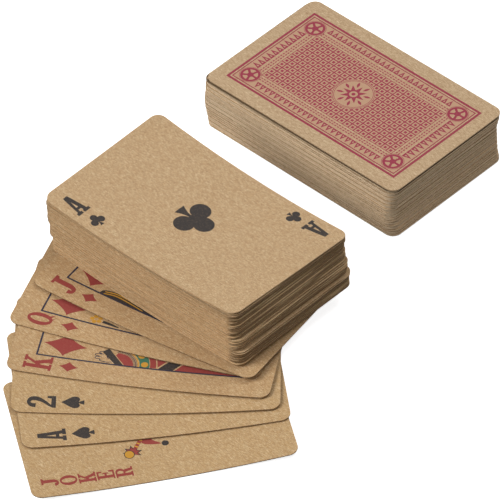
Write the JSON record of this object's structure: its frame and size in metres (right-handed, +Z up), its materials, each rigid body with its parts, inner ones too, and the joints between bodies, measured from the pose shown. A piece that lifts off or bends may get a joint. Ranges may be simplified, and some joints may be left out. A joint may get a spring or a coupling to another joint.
{
  "type": "playing card deck",
  "caption": "Kraft-paper playing cards in two packs: one face up with cards fanned out below it, one squared and face down. Cards swing closed and slide off.",
  "frame": {"origin": "middle of the underside of the rear, face-down pack, on the table", "axes": "+X along the rear pack's long side, +Y away from the front pack, +Z up"},
  "size_m": [0.1362, 0.2234, 0.0295],
  "materials": {
    "kraft_card": "uncoated brown kraft board with visible fibres"
  },
  "bodies": {
    "rear_lower": {"rear_jokers": "kraft_card", "rear_spade_numbers": "kraft_card", "rear_spade_courts": "kraft_card", "rear_heart_numbers": "kraft_card", "rear_heart_courts": "kraft_card"},
    "rear_upper": {"rear_club_numbers": "kraft_card", "rear_club_courts": "kraft_card", "rear_diamond_numbers": "kraft_card", "rear_diamond_courts": "kraft_card"},
    "rear_top": {"rear_top_card": "kraft_card"},
    "joker": {"joker_card": "kraft_card"},
    "ace_spades": {"ace_of_spades": "kraft_card"},
    "two_spades": {"two_of_spades": "kraft_card"},
    "king": {"king_of_diamonds": "kraft_card"},
    "queen": {"queen_of_diamonds": "kraft_card"},
    "jack": {"jack_of_diamonds": "kraft_card"},
    "front_lower": {"front_heart_numbers": "kraft_card", "front_heart_courts": "kraft_card", "front_spade_numbers": "kraft_card", "front_spade_courts": "kraft_card"},
    "front_upper": {"front_diamond_numbers": "kraft_card", "front_club_numbers": "kraft_card", "front_club_courts": "kraft_card", "front_second_joker": "kraft_card"},
    "ace_clubs": {"ace_of_clubs": "kraft_card"}
  },
  "joints": [
    {"name": "rear_cut", "type": "slide", "parent": "rear_lower", "child": "rear_upper", "axis": [0, 1, 0], "range_m": [0, 0.06]},
    {"name": "rear_deal", "type": "slide", "parent": "rear_upper", "child": "rear_top", "axis": [1, 0, 0], "range_m": [0, 0.092]},
    {"name": "front_pack_push", "type": "slide", "parent": "rear_lower", "child": "joker", "axis": [0, -1, 0], "range_m": [0, 0.08]},
    {"name": "ace_of_spades_swing", "type": "hinge", "parent": "joker", "child": "ace_spades", "pos_m": [0.18887, 0.01964, 0], "axis": [0, 0, 1], "range_deg": [0, 5]},
    {"name": "two_of_spades_swing", "type": "hinge", "parent": "ace_spades", "child": "two_spades", "pos_m": [0.08001, -0.07519, 0], "axis": [0, 0, 1], "range_deg": [0, 8]},
    {"name": "king_swing", "type": "hinge", "parent": "two_spades", "child": "king", "pos_m": [0.07382, -0.08198, 0], "axis": [0, 0, 1], "range_deg": [0, 10]},
    {"name": "queen_swing", "type": "hinge", "parent": "king", "child": "queen", "pos_m": [0.08787, -0.05955, 0], "axis": [0, 0, 1], "range_deg": [0, 9]},
    {"name": "jack_swing", "type": "hinge", "parent": "queen", "child": "jack", "pos_m": [0.04868, -0.1099, 0], "axis": [0, 0, 1], "range_deg": [0, 14]},
    {"name": "pile_swing", "type": "hinge", "parent": "jack", "child": "front_lower", "pos_m": [0.06143, -0.06873, 0], "axis": [0, 0, 1], "range_deg": [0, 10]},
    {"name": "front_cut", "type": "slide", "parent": "front_lower", "child": "front_upper", "axis": [0, -1, 0], "range_m": [0, 0.06]},
    {"name": "front_deal", "type": "slide", "parent": "front_upper", "child": "ace_clubs", "axis": [-0.2756, -0.9613, 0], "range_m": [0, 0.06]}
  ]
}
